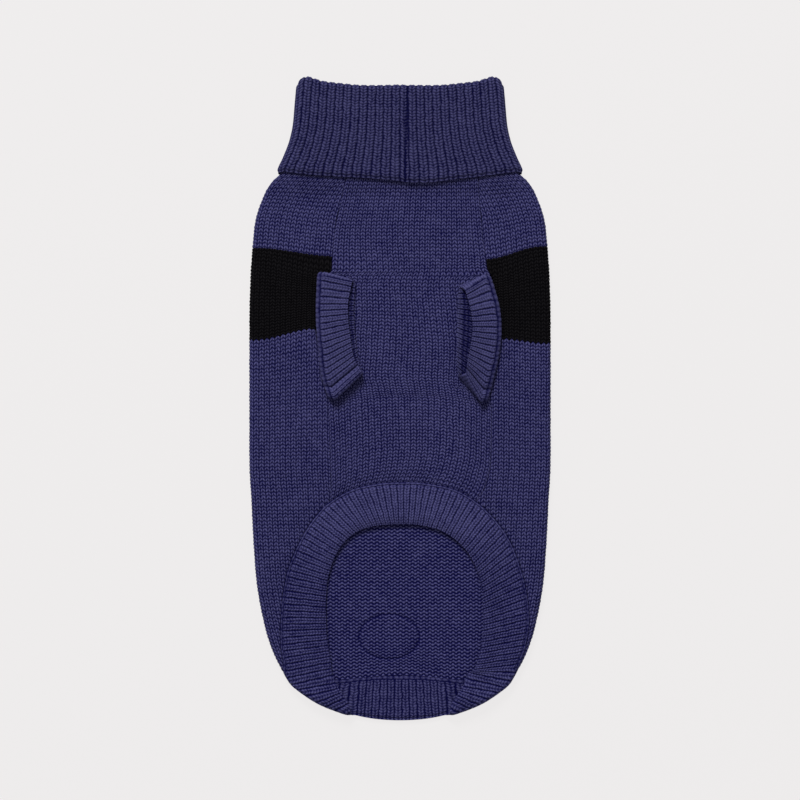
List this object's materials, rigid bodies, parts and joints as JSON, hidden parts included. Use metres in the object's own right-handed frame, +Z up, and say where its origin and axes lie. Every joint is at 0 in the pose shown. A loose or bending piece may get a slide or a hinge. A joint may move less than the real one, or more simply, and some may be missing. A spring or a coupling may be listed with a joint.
{
  "type": "dog sweater",
  "caption": "Knitted turtleneck dog sweater laid flat belly up, with a turned-down rib collar, rib leg cuffs, an arched rib hem band and a contrasting band.",
  "frame": {"origin": "centre of the sweater's outline on the surface that it lies on", "axes": "+Y from tail to neck, +X across to the right of the picture, +Z up through the belly side"},
  "size_m": [0.211, 0.4512, 0.0121],
  "materials": {
    "indigo_knit": "soft plain knit, matte",
    "black_knit": "soft plain knit, matte",
    "indigo_rib": "ribbed knit, matte"
  },
  "bodies": {
    "root": {"back_yoke": "indigo_knit", "back_band": "black_knit", "back_lower": "indigo_knit", "belly_panel": "indigo_knit", "collar": "indigo_rib", "cuff_left": "indigo_rib", "cuff_right": "indigo_rib", "hem_band": "indigo_rib"}
  },
  "joints": []
}
